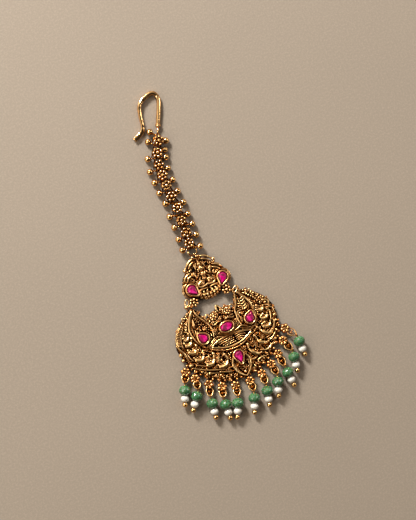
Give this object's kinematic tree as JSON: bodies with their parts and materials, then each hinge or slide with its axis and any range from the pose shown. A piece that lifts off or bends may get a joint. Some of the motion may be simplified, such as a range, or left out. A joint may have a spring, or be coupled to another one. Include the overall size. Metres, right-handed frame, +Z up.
{
  "type": "maang tikka forehead jewel",
  "caption": "Indian forehead jewel: hair hook, ball-and-flower chain, goddess plaque and crescent pendant with pink stones and a fringe of green beads and pearls.",
  "frame": {"origin": "middle of the lower pendant's flat back, under its oval stone, on the surface it lies on", "axes": "+Y along the jewel towards the hook, +X to the right seen from the front, +Z up out of the decorated face"},
  "size_m": [0.0494, 0.1187, 0.0043],
  "materials": {
    "antique_gold": "gold plate over brass, oxidised dark in the recesses, worn bright on the high parts",
    "polished_gold": "smooth polished gold plate",
    "pink_stone": "faceted and foil-backed, deep pink",
    "green_bead": "polished, mottled and a little clear",
    "pearl": "soft pearly lustre"
  },
  "bodies": {
    "root": {"hook": "polished_gold", "top_bar": "polished_gold", "chain_link_01": "antique_gold", "chain_link_02": "antique_gold", "chain_link_03": "antique_gold", "chain_link_04": "antique_gold", "chain_link_05": "antique_gold", "chain_link_06": "antique_gold", "chain_link_07": "antique_gold", "chain_link_08": "antique_gold", "chain_link_09": "antique_gold", "chain_link_10": "antique_gold", "upper_pendant": "antique_gold", "lower_pendant": "antique_gold", "connector_left": "antique_gold", "connector_right": "antique_gold", "top_ring": "antique_gold", "head_pin_01": "polished_gold", "head_pin_02": "polished_gold", "head_pin_03": "polished_gold", "head_pin_04": "polished_gold", "head_pin_05": "polished_gold", "head_pin_06": "polished_gold", "head_pin_07": "polished_gold", "head_pin_08": "polished_gold", "head_pin_09": "polished_gold", "head_pin_10": "polished_gold", "head_pin_11": "polished_gold", "centre_stone": "pink_stone", "horn_stone_left": "pink_stone", "horn_stone_right": "pink_stone", "leaf_stone": "pink_stone", "upper_stone_left": "pink_stone", "upper_stone_right": "pink_stone", "green_bead_01": "green_bead", "green_bead_02": "green_bead", "green_bead_03": "green_bead", "green_bead_04": "green_bead", "green_bead_05": "green_bead", "green_bead_06": "green_bead", "green_bead_07": "green_bead", "green_bead_08": "green_bead", "green_bead_09": "green_bead", "green_bead_10": "green_bead", "green_bead_11": "green_bead", "pearl_01": "pearl", "pearl_02": "pearl", "pearl_03": "pearl", "pearl_04": "pearl", "pearl_05": "pearl", "pearl_06": "pearl", "pearl_07": "pearl", "pearl_08": "pearl", "pearl_09": "pearl", "pearl_10": "pearl", "pearl_11": "pearl"}
  },
  "joints": []
}
